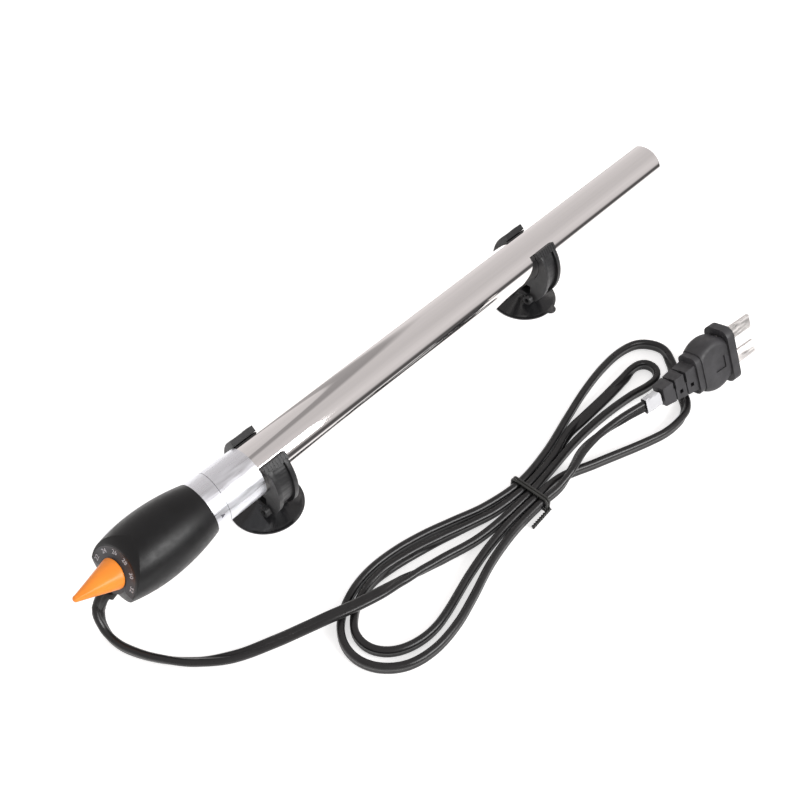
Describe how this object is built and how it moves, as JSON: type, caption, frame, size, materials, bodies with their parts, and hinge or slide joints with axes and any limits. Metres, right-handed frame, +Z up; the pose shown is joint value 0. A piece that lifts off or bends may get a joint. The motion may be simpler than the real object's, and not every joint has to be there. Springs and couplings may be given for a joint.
{
  "type": "submersible aquarium heater",
  "caption": "Stick-shaped aquarium heater: steel tube, barrel head with a slanted dial and pointer knob, sliding suction-cup clips and a tied flat mains cord with its plug.",
  "frame": {"origin": "on the resting plane, under the middle of the heater's length", "axes": "+X along the tube to its closed end, +Y to the left, +Z up"},
  "size_m": [0.3434, 0.122, 0.0406],
  "materials": {
    "polished_steel": "polished",
    "label_film": "satin",
    "head_plastic": "satin",
    "dial_plastic": "matte",
    "knob_plastic": "satin",
    "brass": "satin",
    "seal_rubber": "matte",
    "spring_steel": "satin",
    "carrier_plastic": "matte",
    "bimetal": "satin",
    "contact_silver": "satin",
    "magnet_iron": "matte",
    "capacitor_shell": "gloss",
    "ceramic": "matte",
    "heating_wire": "matte",
    "wire_insulation": "gloss",
    "clip_plastic": "satin",
    "cup_rubber": "gloss",
    "cord_rubber": "satin",
    "tie_plastic": "satin",
    "tag_paper": "matte",
    "plug_plastic": "satin",
    "blade_metal": "polished"
  },
  "bodies": {
    "heater": {"outer_tube": "polished_steel", "rating_label": "label_film", "head_housing": "head_plastic", "dial_ring": "dial_plastic", "spindle_seals": "seal_rubber", "nut_guide": "carrier_plastic", "seal_plug": "seal_rubber", "tube_seal": "seal_rubber", "thermostat_base": "carrier_plastic", "bimetal_strip": "bimetal", "contact_arm": "brass", "contact_points": "contact_silver", "snap_magnet": "magnet_iron", "base_rivets": "contact_silver", "suppressor_capacitor": "capacitor_shell", "thermal_fuse": "contact_silver", "element_core": "ceramic", "heating_coil": "heating_wire", "spacer_discs": "ceramic", "lead_wires": "wire_insulation", "crimp_sleeves": "contact_silver", "cord_gland": "seal_rubber", "power_cord": "cord_rubber", "cord_tie": "tie_plastic", "cord_tag": "tag_paper", "strain_relief": "plug_plastic", "plug_body": "plug_plastic", "plug_blades": "blade_metal"},
    "knob": {"control_knob": "knob_plastic", "knob_spindle": "brass", "spindle_clip": "spring_steel"},
    "nut": {"adjusting_nut": "brass"},
    "rod": {"push_rod": "ceramic"},
    "near_clip": {"clip_near": "clip_plastic"},
    "far_clip": {"clip_far": "clip_plastic"},
    "near_cup": {"cup_near": "cup_rubber"},
    "far_cup": {"cup_far": "cup_rubber"}
  },
  "joints": [
    {"name": "nut_travel", "type": "slide", "parent": "heater", "child": "nut", "axis": [-0.8988, -0.0761, 0.4317], "range_m": [-0.00056, 0.00056]},
    {"name": "knob_turn", "type": "hinge", "parent": "heater", "child": "knob", "pos_m": [-0.15504, 0, 0.0265], "axis": [-0.8988, -0.0761, 0.4317], "range_deg": [-135, 135]},
    {"name": "rod_travel", "type": "slide", "parent": "heater", "child": "rod", "axis": [1, 0, 0], "range_m": [-0.0007, 0.0007]},
    {"name": "near_clip_slide", "type": "slide", "parent": "heater", "child": "near_clip", "axis": [1, 0, 0], "range_m": [0, 0.06]},
    {"name": "far_clip_slide", "type": "slide", "parent": "heater", "child": "far_clip", "axis": [1, 0, 0], "range_m": [-0.06, 0.08]},
    {"name": "near_cup_swivel", "type": "hinge", "parent": "near_clip", "child": "near_cup", "pos_m": [-0.08535, 0, 0.008], "axis": [0, 0, 1], "continuous": true},
    {"name": "far_cup_swivel", "type": "hinge", "parent": "far_clip", "child": "far_cup", "pos_m": [0.07866, 0, 0.008], "axis": [0, 0, 1], "continuous": true}
  ],
  "couplings": [
    {"joint": "knob_turn", "follows": "nut_travel", "rad_per_m": 4188.8},
    {"joint": "rod_travel", "follows": "nut_travel", "ratio": -0.89879}
  ]
}
